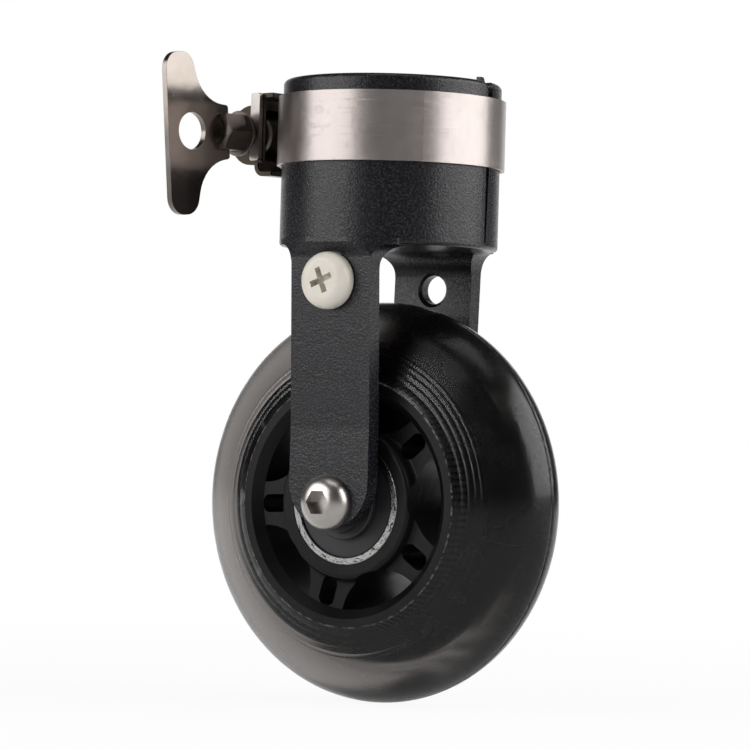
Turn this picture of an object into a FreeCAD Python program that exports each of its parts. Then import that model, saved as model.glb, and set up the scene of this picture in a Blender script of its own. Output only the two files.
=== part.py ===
import FreeCAD, Part
import math
import os

import Sketcher

# Auxiliary rolling wheel for the end of a folding bicycle's tube.
# A cup with two fork legs is clamped on the tube by a worm-drive band; the legs carry a skate wheel.
# Millimetres. Origin: centre of the cup's floor, +Z up the tube.
# The wheel's axis is parallel to Y; the leg with the round plastic screw is on the -Y side.

os.makedirs("parts", exist_ok=True)
doc = FreeCAD.newDocument("AuxiliaryWheel")

# Driving dimensions

DIMENSIONS = [
    # fits
    ("loose_fit", 0.05),
    # cup
    ("cup_diameter", 38.8),
    ("cup_wall", 2.5),
    ("socket_depth", 26.5),
    ("floor_thickness", 3.0),
    ("rim_round", 1.0),
    ("slit_near_side", 1.1),
    ("slit_foot_width", 0.5),
    ("slit_mouth_width", 1.8),
    ("slit_into_floor", 2.0),
    ("lip_round", 2.0),
    # fork
    ("axle_drop", 45.0),
    ("leg_width", 16.5),
    ("leg_thickness", 3.0),
    ("fork_root_gap", 30.2),
    ("leg_end_above_axle", 3.5),
    ("leg_root_round", 3.5),
    ("arch_round", 4.5),
    ("knee_above_axle", 13.0),
    ("fork_corner_diameter", 39.8),
    ("stop_screw_drop", 6.5),
    ("stop_hole_diameter", 5.2),
    ("stop_hole_chamfer", 0.5),
    # liner sleeve
    ("liner_wall", 0.9),
    ("liner_gap", 0.05),
    ("ear_height", 1.0),
    ("ear_width", 1.6),
    # band
    ("band_width", 12.2),
    ("band_thickness", 0.7),
    ("band_below_rim", 3.0),
    ("band_gap", 0.15),
    ("band_slot_width", 1.3),
    ("band_slot_length", 6.4),
    ("band_slot_pitch", 2.6),
    ("clamp_turn", 8.6),
    # worm housing and screw
    ("housing_length", 18.0),
    ("housing_sheet", 0.8),
    ("worm_diameter", 7.4),
    ("worm_gap", 0.1),
    ("worm_neck_diameter", 6.0),
    ("worm_tip_diameter", 4.0),
    ("collar_disc_diameter", 10.5),
    ("collar_disc_thickness", 1.3),
    ("hex_across_flats", 7.0),
    ("hex_length", 8.2),
    ("key_slot_depth", 4.6),
    # wing key
    ("key_thickness", 1.15),
    ("key_height", 28.8),
    ("key_reach", 17.6),
    ("key_hole_diameter", 6.8),
    ("key_hole_reach", 11.6),
    # wheel
    ("wheel_diameter", 71.0),
    ("tread_round", 7.6),
    ("tread_flank_angle", 27.7),
    ("tyre_edge_diameter", 54.6),
    ("rim_diameter", 44.2),
    ("rim_width", 22.2),
    ("rim_lip", 1.7),
    ("spoke_width", 19.0),
    ("spoke_count", 5),
    ("spoke_phase", 2.5),
    ("rim_corner_round", 0.3),
    ("flange_round", 0.4),
    ("spoke_slot_length", 5.0),
    ("spoke_slot_width", 3.2),
    ("spoke_slot_centre", 16.3),
    ("window_round", 9.2),
    ("window_depth", 5.8),
    ("boss_diameter", 26.6),
    ("flange_diameter", 52.4),
    ("flange_width", 11.0),
    ("flange_hole_count", 12),
    ("flange_hole_diameter", 3.2),
    ("flange_hole_circle", 48.7),
    ("bond_gap", 0.05),
    # ball bearings
    ("bearing_outside", 22.0),
    ("bearing_bore", 8.0),
    ("bearing_width", 7.0),
    ("bearing_offset", 8.0),
    ("ball_diameter", 3.9),
    ("ball_circle", 15.0),
    ("ball_count", 7),
    ("race_groove_gap", 0.08),
    ("outer_race_land", 18.4),
    ("inner_race_land", 12.0),
    ("seal_thickness", 0.5),
    ("seal_recess", 0.35),
    ("seat_gap", 0.02),
    # axle
    ("axle_diameter", 5.9),
    ("axle_hole_diameter", 6.4),
    ("bolt_head_diameter", 9.8),
    ("bolt_head_height", 3.3),
    ("bolt_socket_flats", 4.0),
    ("bolt_socket_depth", 2.2),
    ("nut_across_flats", 10.0),
    ("nut_height", 6.0),
    ("bolt_tail", 1.2),
    ("sleeve_shoulder_diameter", 10.6),
    ("spacer_width", 2.3),
    ("spacer_step", 1.0),
    ("spacer_foot_diameter", 13.0),
    ("spacer_top_diameter", 10.6),
    # round plastic screw
    ("stop_head_diameter", 10.0),
    ("stop_head_height", 3.2),
    ("stop_seat_depth", 0.2),
    ("stop_recess_depth", 1.8),
    ("stop_recess_span", 4.6),
    ("stop_recess_arm", 1.1),
    ("stop_recess_turn", 22.0),
]

sheet = doc.addObject("Spreadsheet::Sheet", "Sizes")
for row, (alias, value) in enumerate(DIMENSIONS, start=1):
    sheet.set(f"A{row}", alias.replace("_", " "))
    sheet.set(f"B{row}", str(value))
    sheet.setAlias(f"B{row}", alias)
doc.recompute()


class Size:
    """A number together with the sheet expression that gives it."""

    def __init__(self, number, text):
        self.number = float(number)
        self.text = text

    def __add__(self, other):
        other = as_size(other)
        return Size(self.number + other.number, f"({self.text} + {other.text})")

    def __sub__(self, other):
        other = as_size(other)
        return Size(self.number - other.number, f"({self.text} - {other.text})")

    def __mul__(self, other):
        other = as_size(other)
        return Size(self.number * other.number, f"({self.text} * {other.text})")

    def __truediv__(self, other):
        other = as_size(other)
        return Size(self.number / other.number, f"({self.text} / {other.text})")

    def __radd__(self, other):
        return as_size(other) + self

    def __rsub__(self, other):
        return as_size(other) - self

    def __rmul__(self, other):
        return as_size(other) * self

    def __neg__(self):
        return Size(-self.number, f"(0 - {self.text})")


def as_size(value):
    if isinstance(value, Size):
        return value
    return Size(value, f"({value})")


def size(alias):
    return Size(getattr(sheet, alias), f"Sizes.{alias}")


def sine(angle):
    return Size(math.sin(math.radians(angle.number)), f"sin({angle.text})")


def cosine(angle):
    return Size(math.cos(math.radians(angle.number)), f"cos({angle.text})")


def tangent(angle):
    return Size(math.tan(math.radians(angle.number)), f"tan({angle.text})")


def new_body(label):
    body = doc.addObject("PartDesign::Body", label)
    body.Label = label
    return body


class Drawing:
    """A sketch on one of its body's origin planes whose points and radii follow the sheet."""

    def __init__(self, body, name, plane, lift=0):
        self.sketch = body.newObject("Sketcher::SketchObject", name)
        support = [f for f in body.Origin.OriginFeatures if f.Role == plane][0]
        self.sketch.AttachmentSupport = (support, [""])
        self.sketch.MapMode = "FlatFace"
        lift = as_size(lift)
        self.sketch.AttachmentOffset = FreeCAD.Placement(FreeCAD.Vector(0, 0, lift.number), FreeCAD.Rotation())
        self.sketch.setExpression("AttachmentOffset.Base.z", lift.text)

    def dimension(self, kind, *where, value):
        index = self.sketch.addConstraint(Sketcher.Constraint(kind, *where, value.number))
        self.sketch.setExpression(f"Constraints[{index}]", value.text)

    def place(self, geometry, point, x, y):
        self.dimension("DistanceX", -1, 1, geometry, point, value=x)
        self.dimension("DistanceY", -1, 1, geometry, point, value=y)

    def circle(self, x, y, radius):
        x, y, radius = as_size(x), as_size(y), as_size(radius)
        centre = FreeCAD.Vector(x.number, y.number, 0)
        shape = Part.Circle(centre, FreeCAD.Vector(0, 0, 1), radius.number)
        geometry = self.sketch.addGeometry(shape)
        self.place(geometry, 3, x, y)
        self.dimension("Radius", geometry, value=radius)
        return self

    def axis(self, x1, y1, x2, y2):
        """Construction line to revolve about."""
        first, last = [FreeCAD.Vector(as_size(x).number, as_size(y).number, 0) for x, y in ((x1, y1), (x2, y2))]
        line = self.sketch.addGeometry(Part.LineSegment(first, last), True)
        self.place(line, 1, as_size(x1), as_size(y1))
        self.place(line, 2, as_size(x2), as_size(y2))

    def outline(self, corners):
        """Closed outline through corners (x, y) or (x, y, radius of the rounding)."""
        points = []
        for corner in corners:
            x, y = as_size(corner[0]), as_size(corner[1])
            radius = as_size(corner[2]) if len(corner) > 2 else None
            points.append((x, y, radius, FreeCAD.Vector(x.number, y.number, 0)))
        count = len(points)
        ends = []
        for i in range(count):
            before, here, after = points[i - 1][3], points[i][3], points[(i + 1) % count][3]
            radius = points[i][2]
            if radius is None:
                ends.append((here, here, None))
                continue
            incoming = (here - before).normalize()
            outgoing = (after - here).normalize()
            turn = incoming.getAngle(outgoing)
            run = radius.number * math.tan(turn / 2)
            left = incoming.cross(outgoing).z > 0
            side = FreeCAD.Vector(-incoming.y, incoming.x, 0) * (1 if left else -1)
            arc_start = here - incoming * run
            arc_end = here + outgoing * run
            centre = arc_start + side * radius.number
            first, last = (arc_start, arc_end) if left else (arc_end, arc_start)
            angles = [math.atan2((p - centre).y, (p - centre).x) for p in (first, last)]
            circle = Part.Circle(centre, FreeCAD.Vector(0, 0, 1), radius.number)
            ends.append((arc_start, arc_end, (Part.ArcOfCircle(circle, angles[0], angles[1]), left)))
        lines = []
        for i in range(count):
            line = Part.LineSegment(ends[i][1], ends[(i + 1) % count][0])
            lines.append(self.sketch.addGeometry(line))
        for i in range(count):
            x, y, radius, corner = points[i]
            incoming, outgoing = lines[i - 1], lines[i]
            if radius is None:
                self.sketch.addConstraint(Sketcher.Constraint("Coincident", incoming, 2, outgoing, 1))
                self.place(outgoing, 1, x, y)
                continue
            arc, left = ends[i][2]
            mark = self.sketch.addGeometry(Part.Point(corner), True)
            bend = self.sketch.addGeometry(arc)
            self.place(mark, 1, x, y)
            self.sketch.addConstraint(Sketcher.Constraint("PointOnObject", mark, 1, incoming))
            self.sketch.addConstraint(Sketcher.Constraint("PointOnObject", mark, 1, outgoing))
            start, end = (1, 2) if left else (2, 1)
            self.sketch.addConstraint(Sketcher.Constraint("Tangent", incoming, 2, bend, start))
            self.sketch.addConstraint(Sketcher.Constraint("Tangent", outgoing, 1, bend, end))
            self.dimension("Radius", bend, value=radius)
        return self


def pad(body, drawing, length, symmetric=False, reverse=False):
    feature = body.newObject("PartDesign::Pad", "Pad")
    feature.Profile = drawing.sketch
    feature.SideType = "Symmetric" if symmetric else "One side"
    feature.Reversed = reverse
    feature.setExpression("Length", as_size(length).text)
    return feature


def pocket(body, drawing, length=None, symmetric=False, reverse=False):
    doc.recompute()
    before = body.Shape.Volume
    feature = body.newObject("PartDesign::Pocket", "Pocket")
    feature.Profile = drawing.sketch
    feature.SideType = "Symmetric" if symmetric else "One side"
    feature.Reversed = reverse
    if length is None:
        feature.Type = "ThroughAll"
    else:
        feature.setExpression("Length", as_size(length).text)
    doc.recompute()
    if not feature.Shape.Volume < before:
        raise ValueError(f"{body.Label}: a pocket cuts nothing")
    return feature


def revolve(body, drawing, axis="V_Axis", groove=False):
    kind = "Groove" if groove else "Revolution"
    feature = body.newObject(f"PartDesign::{kind}", kind)
    feature.Profile = drawing.sketch
    feature.ReferenceAxis = (drawing.sketch, [axis])
    feature.Angle = 360
    return feature


def repeat(body, feature, axis, occurrences):
    """Copies a feature round one of the body's origin axes."""
    doc.recompute()
    pattern = body.newObject("PartDesign::PolarPattern", "Pattern")
    pattern.Originals = [feature]
    line = [f for f in body.Origin.OriginFeatures if f.Role == axis][0]
    pattern.Axis = (line, [""])
    pattern.Angle = 360
    pattern.setExpression("Occurrences", as_size(occurrences).text)
    body.Tip = pattern
    doc.recompute()
    return pattern


def edges_where(body, test):
    """Names of the body's edges that pass the test."""
    doc.recompute()
    return [f"Edge{i}" for i, edge in enumerate(body.Shape.Edges, start=1) if test(edge)]


def soften(body, kind, names, amount):
    """Fillet or chamfer along the named edges."""
    if not names:
        raise ValueError(f"{body.Label}: no edge found for the {kind.lower()}")
    feature = body.newObject(f"PartDesign::{kind}", kind)
    feature.Base = (body.Tip, names)
    feature.setExpression("Radius" if kind == "Fillet" else "Size", as_size(amount).text)
    body.Tip = feature
    doc.recompute()
    return feature


def stand(thing, x=0, y=0, z=0, turn=0):
    """Places a sub-part and turns it about the vertical."""
    for axis, value in zip("xyz", (x, y, z)):
        thing.setExpression(f"Placement.Base.{axis}", as_size(value).text)
    thing.setExpression("Placement.Rotation.Angle", f"({as_size(turn).text}) * 1 deg")


# Places that several pieces share

cup_radius = size("cup_diameter") / 2
bore_radius = cup_radius - size("cup_wall")
rim_top = size("socket_depth")
floor_bottom = -size("floor_thickness")
axle_height = floor_bottom - size("axle_drop")
leg_half = size("leg_width") / 2
leg_end_centre = axle_height + size("leg_end_above_axle")
knee_height = axle_height + size("knee_above_axle")
stop_height = floor_bottom - size("stop_screw_drop")
stack_half = size("bearing_offset") + size("bearing_width") / 2
gap_half = stack_half + size("spacer_width")
root_half = size("fork_root_gap") / 2
leg_outside = gap_half + size("leg_thickness")
root_outside = root_half + size("leg_thickness")
lean = (root_outside - leg_outside) / (floor_bottom - knee_height)
stop_face = leg_outside + lean * (stop_height - knee_height) - size("stop_seat_depth")
slit_far_side = size("slit_near_side") + size("slit_mouth_width")
clearance = size("loose_fit")


# Bracket: cup, floor and fork in one casting

bracket = new_body("bracket")

leg_outline = Drawing(bracket, "LegOutline", "XZ_Plane")
root_edge = leg_half + size("leg_root_round") + 0.5
end_round = leg_half - 0.3
leg_outline.outline([
    (-root_edge, floor_bottom + 1.0),
    (-root_edge, floor_bottom),
    (-leg_half, floor_bottom, size("leg_root_round")),
    (-leg_half, leg_end_centre - end_round, end_round),
    (leg_half, leg_end_centre - end_round, end_round),
    (leg_half, floor_bottom, size("leg_root_round")),
    (root_edge, floor_bottom),
    (root_edge, floor_bottom + 1.0),
])
pad(bracket, leg_outline, size("cup_diameter") + 2, symmetric=True)

below = axle_height - size("leg_width")
fork_gap = Drawing(bracket, "ForkGap", "YZ_Plane")
fork_gap.outline([
    (-gap_half, below),
    (-gap_half, knee_height, 20),
    (-root_half, floor_bottom, size("arch_round")),
    (root_half, floor_bottom, size("arch_round")),
    (gap_half, knee_height, 20),
    (gap_half, below),
])
pocket(bracket, fork_gap, symmetric=True)

for side in (-1, 1):
    outside = Drawing(bracket, "LegOutside", "YZ_Plane")
    outside.outline([
        (side * leg_outside, below),
        (side * leg_outside, knee_height, 20),
        (side * root_outside, floor_bottom - 1.6, 2.5),
        (side * cup_radius, floor_bottom + 0.2),
        (side * cup_radius, floor_bottom + 2.0),
        (side * (cup_radius + 3), floor_bottom + 2.0),
        (side * (cup_radius + 3), below),
    ])
    pocket(bracket, outside, symmetric=True)

fork_corner = size("fork_corner_diameter") / 2
corner_trim = Drawing(bracket, "CornerTrim", "XZ_Plane")
corner_trim.outline([
    (fork_corner, below),
    (fork_corner + 8, below),
    (fork_corner + 8, floor_bottom + 2),
    (fork_corner, floor_bottom + 2),
])
revolve(bracket, corner_trim, groove=True)

cup = Drawing(bracket, "Cup", "XZ_Plane")
cup.outline([
    (0, floor_bottom),
    (cup_radius, floor_bottom, 0.6),
    (cup_radius, rim_top, size("rim_round")),
    (bore_radius, rim_top, 0.4),
    (bore_radius, 0),
    (0, 0),
])
revolve(bracket, cup)

slit = Drawing(bracket, "Slit", "YZ_Plane", lift=bore_radius - 4)
slit.outline([
    (size("slit_near_side"), -size("slit_into_floor")),
    (size("slit_near_side") + size("slit_foot_width"), -size("slit_into_floor")),
    (slit_far_side, rim_top, size("lip_round") / 2),
    (slit_far_side + 4, rim_top),
    (slit_far_side + 4, rim_top + 2),
    (size("slit_near_side") - 4, rim_top + 2),
    (size("slit_near_side") - 4, rim_top),
    (size("slit_near_side"), rim_top, size("lip_round")),
])
pocket(bracket, slit, reverse=True)

holes = Drawing(bracket, "Holes", "XZ_Plane")
holes.circle(0, axle_height, size("axle_hole_diameter") / 2)
holes.circle(0, stop_height, size("stop_hole_diameter") / 2)
pocket(bracket, holes, symmetric=True)

seat = Drawing(bracket, "StopSeat", "XZ_Plane", lift=stop_face)
seat.circle(0, stop_height, size("stop_head_diameter") / 2 + 0.3)
pocket(bracket, seat, size("cup_wall"), reverse=True)


# Countersinks of the tapped hole in the far leg
stop_hole_radius = size("stop_hole_diameter") / 2
stop_level = (stop_height - knee_height) / (floor_bottom - knee_height)
stop_inside = gap_half + (root_half - gap_half) * stop_level
mouth_radius = stop_hole_radius + size("stop_hole_chamfer")
for mouth, inward in ((stop_inside, 1), (stop_inside + size("leg_thickness"), -1)):
    bevel = Drawing(bracket, "Countersink", "YZ_Plane")
    bevel.axis(mouth, stop_height, mouth + 1, stop_height)
    bevel.outline([
        (mouth - inward * 0.3, stop_height),
        (mouth + inward * mouth_radius, stop_height),
        (mouth - inward * 0.3, stop_height + mouth_radius + 0.3),
    ])
    revolve(bracket, bevel, axis="Axis0", groove=True)


# Liner sleeve between the cup and the tube, with a small ear at the slit

liner = new_body("socket_liner")
liner_outside = bore_radius - size("liner_gap")
liner_inside = liner_outside - size("liner_wall")
sleeve = Drawing(liner, "Sleeve", "XZ_Plane")
sleeve.outline([
    (liner_inside, 0),
    (liner_outside, 0),
    (liner_outside, rim_top + size("ear_height")),
    (liner_inside, rim_top + size("ear_height")),
])
revolve(liner, sleeve)

liner_slit = Drawing(liner, "LinerSlit", "YZ_Plane", lift=liner_inside / 2)
liner_slit.outline([
    (size("slit_near_side"), -1),
    (slit_far_side, -1),
    (slit_far_side, rim_top + size("ear_height") + 1),
    (size("slit_near_side"), rim_top + size("ear_height") + 1),
])
pocket(liner, liner_slit, reverse=True)

trim_back = Drawing(liner, "TrimBack", "XZ_Plane")
trim_back.outline([
    (-cup_radius, rim_top),
    (liner_inside / 2, rim_top),
    (liner_inside / 2, rim_top + size("ear_height") + 1),
    (-cup_radius, rim_top + size("ear_height") + 1),
])
pocket(liner, trim_back, symmetric=True)

ear_end = slit_far_side + size("ear_width")
for name, near_edge, far_edge in (("TrimNear", -cup_radius, slit_far_side), ("TrimFar", ear_end, cup_radius)):
    trim = Drawing(liner, name, "YZ_Plane", lift=liner_inside / 2 - 1)
    slope = size("ear_height") if name == "TrimFar" else 0
    trim.outline([
        (near_edge + slope, rim_top),
        (far_edge, rim_top),
        (far_edge, rim_top + size("ear_height") + 1),
        (near_edge - slope, rim_top + size("ear_height") + 1),
    ])
    pocket(liner, trim, reverse=True)


# Clamp: every piece is drawn with the housing towards -X and the key towards -Y, then turned on the cup

clamp_height = rim_top - size("band_below_rim") - size("band_width") / 2
clamp_turn = -size("clamp_turn")
band_inside = cup_radius + size("band_gap")
band_outside = band_inside + size("band_thickness")
tail_inside = band_outside + 0.05
tail_outside = tail_inside + size("band_thickness")
worm_radius = size("worm_diameter") / 2
worm_axis = tail_outside + size("worm_gap") + worm_radius
housing_half = size("housing_length") / 2


def polar(radius, degrees):
    angle = math.radians(degrees)
    return FreeCAD.Vector(radius * math.cos(angle), radius * math.sin(angle), 0)


def bow(radius, start, end):
    """Arc about the cup's axis from one angle to another."""
    middle = polar(radius, (start + end) / 2)
    return Part.Arc(polar(radius, start), middle, polar(radius, end)).toShape()


# Band: one strip that starts under the housing, goes round the cup and comes back over itself.
# Angles are counted from +X, and the housing stands at 180 degrees.

STRIP_START = 168
RAMP_START = 488
RAMP_END = 510
half_angle = math.degrees(math.asin(housing_half.number / band_outside.number))
strip_end = 540 + half_angle - 4

inner_radii = (band_inside.number, band_outside.number)
tail_radii = (tail_inside.number, tail_outside.number)
edge_lists = []
for low, high in zip(inner_radii, tail_radii):
    edge_lists.append([
        bow(low, STRIP_START, RAMP_START - 160),
        bow(low, RAMP_START - 160, RAMP_START),
        Part.LineSegment(polar(low, RAMP_START), polar(high, RAMP_END)).toShape(),
        bow(high, RAMP_END, strip_end),
    ])
ends = [
    Part.LineSegment(polar(inner_radii[0], STRIP_START), polar(inner_radii[1], STRIP_START)).toShape(),
    Part.LineSegment(polar(tail_radii[0], strip_end), polar(tail_radii[1], strip_end)).toShape(),
]
strip_wire = Part.Wire(Part.__sortEdges__(edge_lists[0] + edge_lists[1] + ends))
strip = Part.Face(strip_wire).extrude(FreeCAD.Vector(0, 0, size("band_width").number))
strip.translate(FreeCAD.Vector(0, 0, -size("band_width").number / 2))

# Slots for the worm's thread, slanted by the thread's lead, in the tail's half of the strip
slot_step = math.degrees(size("band_slot_pitch").number / tail_inside.number)
slots = []
angle = RAMP_START - 8 * slot_step
while angle < strip_end - slot_step:
    blade = Part.makeBox(6, size("band_slot_width").number, size("band_slot_length").number)
    blade.translate(FreeCAD.Vector(-3, -size("band_slot_width").number / 2, -size("band_slot_length").number / 2))
    blade.rotate(FreeCAD.Vector(0, 0, 0), FreeCAD.Vector(1, 0, 0), 6)
    under = angle > 360 + STRIP_START - slot_step
    reach = tail_inside.number - 0.02 + 3 if under else band_inside.number + 2.5
    blade.translate(FreeCAD.Vector(reach, 0, 0))
    blade.rotate(FreeCAD.Vector(0, 0, 0), FreeCAD.Vector(0, 0, 1), angle)
    slots.append(blade)
    angle += slot_step
strip = strip.cut(slots)

band = doc.addObject("Part::Feature", "clamp_band")
band.Label = "clamp_band"
band.Shape = strip
stand(band, z=clamp_height, turn=clamp_turn)


# Housing: folded sheet with side walls beside the strip and an arch over the worm

housing = new_body("clamp_housing")
sheet_wall = size("housing_sheet")
saddle_half = size("band_width") / 2 + 0.25 + sheet_wall
saddle_floor = tail_outside + 0.6
saddle_top = saddle_floor + sheet_wall
skirt = band_inside + 0.3
arch_half = worm_radius + 0.55 + sheet_wall
arch_top = worm_axis + arch_half
arch_round = arch_half - 0.3
section = Drawing(housing, "Section", "XZ_Plane")
section.outline([
    (-skirt, -saddle_half),
    (-saddle_top, -saddle_half, 1.0),
    (-saddle_top, -arch_half),
    (-arch_top, -arch_half, arch_round),
    (-arch_top, arch_half, arch_round),
    (-saddle_top, arch_half),
    (-saddle_top, saddle_half, 1.0),
    (-skirt, saddle_half),
    (-skirt, saddle_half - sheet_wall),
    (-saddle_floor, saddle_half - sheet_wall),
    (-saddle_floor, arch_half - sheet_wall),
    (-(arch_top - sheet_wall), arch_half - sheet_wall, arch_round - sheet_wall),
    (-(arch_top - sheet_wall), -(arch_half - sheet_wall), arch_round - sheet_wall),
    (-saddle_floor, -(arch_half - sheet_wall)),
    (-saddle_floor, -(saddle_half - sheet_wall)),
    (-skirt, -(saddle_half - sheet_wall)),
])
pad(housing, section, size("housing_length"), symmetric=True)

end_inside = housing_half - sheet_wall
for side, hole in ((1, size("worm_neck_diameter")), (-1, size("worm_tip_diameter"))):
    lift = end_inside if side > 0 else -housing_half
    wall = Drawing(housing, "EndWall", "XZ_Plane", lift=lift)
    wall.outline([
        (-saddle_floor, -(arch_half - sheet_wall / 2)),
        (-(arch_top - sheet_wall / 2), -(arch_half - sheet_wall / 2), arch_round - sheet_wall / 2),
        (-(arch_top - sheet_wall / 2), arch_half - sheet_wall / 2, arch_round - sheet_wall / 2),
        (-saddle_floor, arch_half - sheet_wall / 2),
    ])
    wall.circle(-worm_axis, 0, hole / 2 + size("worm_gap"))
    pad(housing, wall, sheet_wall)
doc.recompute()
stand(housing, z=clamp_height, turn=clamp_turn)


# Clamp screw: tip, worm, neck, disc and slotted hexagon on one axis

screw = new_body("clamp_screw")
worm_half = end_inside - 0.3
disc_start = housing_half + size("worm_gap")
disc_end = disc_start + size("collar_disc_thickness")
head_end = disc_end + size("hex_length")
tip_end = housing_half + 0.4
turned = Drawing(screw, "Turned", "XY_Plane")
disc_radius = size("collar_disc_diameter") / 2
neck_radius = size("worm_neck_diameter") / 2
tip_radius = size("worm_tip_diameter") / 2
turned.outline([
    (0, tip_end),
    (tip_radius, tip_end, 0.4),
    (tip_radius, worm_half),
    (worm_radius, worm_half, 0.5),
    (worm_radius, -worm_half, 0.5),
    (neck_radius, -worm_half),
    (neck_radius, -disc_start),
    (disc_radius, -disc_start, 0.3),
    (disc_radius, -disc_end, 0.3),
    (0, -disc_end),
])
revolve(screw, turned)


def hexagon(drawing, across_flats, x=0, y=0, first=30):
    """Six corners on the circle round a hexagon of the given width across its flats."""
    corner = across_flats / 2 / cosine(as_size(30))
    angles = [as_size(first + 60 * i) for i in range(6)]
    drawing.outline([(x + corner * cosine(a), y + corner * sine(a)) for a in angles])


head = Drawing(screw, "Head", "XZ_Plane", lift=disc_end - 0.1)
hexagon(head, size("hex_across_flats"), first=0)
pad(screw, head, size("hex_length") + 0.1)

nose = Drawing(screw, "NoseTrim", "XY_Plane")
corner_radius = size("hex_across_flats") / 2 / cosine(as_size(30))
nose.outline([
    (corner_radius - 0.7, -head_end),
    (corner_radius - 0.7, -(head_end + 1)),
    (corner_radius + 1, -(head_end + 1)),
    (corner_radius + 1, -(head_end - 1.2)),
])
revolve(screw, nose, groove=True)

dish = Drawing(screw, "Dish", "XY_Plane")
dish.outline([
    (0, -(head_end + 1)),
    (size("hex_across_flats") / 2 - 0.9, -(head_end + 1)),
    (size("hex_across_flats") / 2 - 0.9, -(head_end - 0.1)),
    (1.0, -(head_end - 0.9)),
    (0, -(head_end - 0.9)),
])
revolve(screw, dish, groove=True)

key_seat = head_end - size("key_slot_depth")
key_slot = Drawing(screw, "KeySlot", "XZ_Plane", lift=key_seat)
slot_half = size("key_thickness") / 2 + 0.03
key_slot.outline([
    (-slot_half, -size("hex_across_flats")),
    (slot_half, -size("hex_across_flats")),
    (slot_half, size("hex_across_flats")),
    (-slot_half, size("hex_across_flats")),
])
pocket(screw, key_slot, reverse=True)
stand(
    screw,
    x=-worm_axis * cosine(clamp_turn),
    y=-worm_axis * sine(clamp_turn),
    z=clamp_height,
    turn=clamp_turn,
)


# Wing key: flat plate pressed into the slot of the hexagon

key = new_body("wing_key")
key_start = key_seat + 0.05
key_end = key_start + size("key_reach")
key_half = size("key_height") / 2
neck_half = 4.4
wing_inside = key_end - 5.8
outline = Drawing(key, "Outline", "YZ_Plane")
outline.outline([
    (-key_start, -neck_half, 0.6),
    (-(wing_inside - 2.2), -(neck_half + 0.8), 7.5),
    (-wing_inside, -key_half, 3.0),
    (-key_end, -key_half, 2.7),
    (-key_end, key_half, 2.7),
    (-wing_inside, key_half, 3.0),
    (-(wing_inside - 2.2), neck_half + 0.8, 7.5),
    (-key_start, neck_half, 0.6),
])
outline.circle(-(key_start + size("key_hole_reach")), 0, size("key_hole_diameter") / 2)
pad(key, outline, size("key_thickness"), symmetric=True)
stand(
    key,
    x=-worm_axis * cosine(clamp_turn),
    y=-worm_axis * sine(clamp_turn),
    z=clamp_height,
    turn=clamp_turn,
)


# Wheel hub: rim with a bonding flange, five forked spokes and a boss with two bearing seats

wheel_radius = size("wheel_diameter") / 2
rim_radius = size("rim_diameter") / 2
rim_inside = rim_radius - size("rim_lip")
window_outside = rim_inside - 1.6
spoke_half = size("spoke_width") / 2
rim_half = size("rim_width") / 2
flange_radius = size("flange_diameter") / 2
flange_half = size("flange_width") / 2
boss_radius = size("boss_diameter") / 2
seat_radius = size("bearing_outside") / 2
seat_depth = size("bearing_offset") - size("bearing_width") / 2
shoulder_radius = seat_radius - 1.6

hub = new_body("wheel_hub")
hub_section = Drawing(hub, "Section", "XY_Plane")
upper = [
    (seat_radius, seat_depth),
    (seat_radius, stack_half),
    (boss_radius, stack_half, 0.8),
    (boss_radius + 0.7, spoke_half, 0.8),
    (window_outside, spoke_half),
    (rim_inside, rim_half),
    (rim_radius, rim_half, 0.3),
    (rim_radius, flange_half, size("rim_corner_round")),
    (flange_radius, flange_half, size("flange_round")),
]
lower = [(corner[0], -corner[1]) + tuple(corner[2:]) for corner in reversed(upper)]
hub_section.outline([(shoulder_radius, seat_depth)] + upper + lower + [(shoulder_radius, -seat_depth)])
revolve(hub, hub_section)


def turned_point(radius, angle):
    return radius * cosine(angle), radius * sine(angle)


# One lens-shaped window between two spokes: the rim's arc outside, a deeper arc towards the boss
spoke_step = as_size(360) / size("spoke_count")
window_angle = size("spoke_phase")
inner_reach = window_outside - size("window_depth")
lens_centre = inner_reach + size("window_round")
lens_cosine = (
    (lens_centre * lens_centre + window_outside * window_outside - size("window_round") * size("window_round"))
    / (lens_centre * window_outside * 2)
)
half_window = Size(math.degrees(math.acos(lens_cosine.number)), f"acos({lens_cosine.text})")

window = Drawing(hub, "Window", "XZ_Plane")
start_x, start_y = turned_point(window_outside, window_angle - half_window)
end_x, end_y = turned_point(window_outside, window_angle + half_window)
lens_x, lens_y = turned_point(lens_centre, window_angle)
origin = FreeCAD.Vector(0, 0, 0)
up = FreeCAD.Vector(0, 0, 1)
start = FreeCAD.Vector(start_x.number, start_y.number, 0)
end = FreeCAD.Vector(end_x.number, end_y.number, 0)
lens = FreeCAD.Vector(lens_x.number, lens_y.number, 0)


def direction(point, centre):
    return math.atan2(point.y - centre.y, point.x - centre.x)


rim_arc = Part.ArcOfCircle(
    Part.Circle(origin, up, window_outside.number), direction(start, origin), direction(end, origin)
)
lens_arc = Part.ArcOfCircle(
    Part.Circle(lens, up, size("window_round").number), direction(end, lens), direction(start, lens)
)
outer_arc = window.sketch.addGeometry(rim_arc)
inner_arc = window.sketch.addGeometry(lens_arc)
window.sketch.addConstraint(Sketcher.Constraint("Coincident", outer_arc, 3, -1, 1))
window.sketch.addConstraint(Sketcher.Constraint("Coincident", outer_arc, 2, inner_arc, 1))
window.sketch.addConstraint(Sketcher.Constraint("Coincident", outer_arc, 1, inner_arc, 2))
window.dimension("Radius", outer_arc, value=window_outside)
window.dimension("Radius", inner_arc, value=size("window_round"))
window.place(inner_arc, 3, lens_x, lens_y)
window_cut = pocket(hub, window, symmetric=True)
repeat(hub, window_cut, "Y_Axis", size("spoke_count"))

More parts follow.
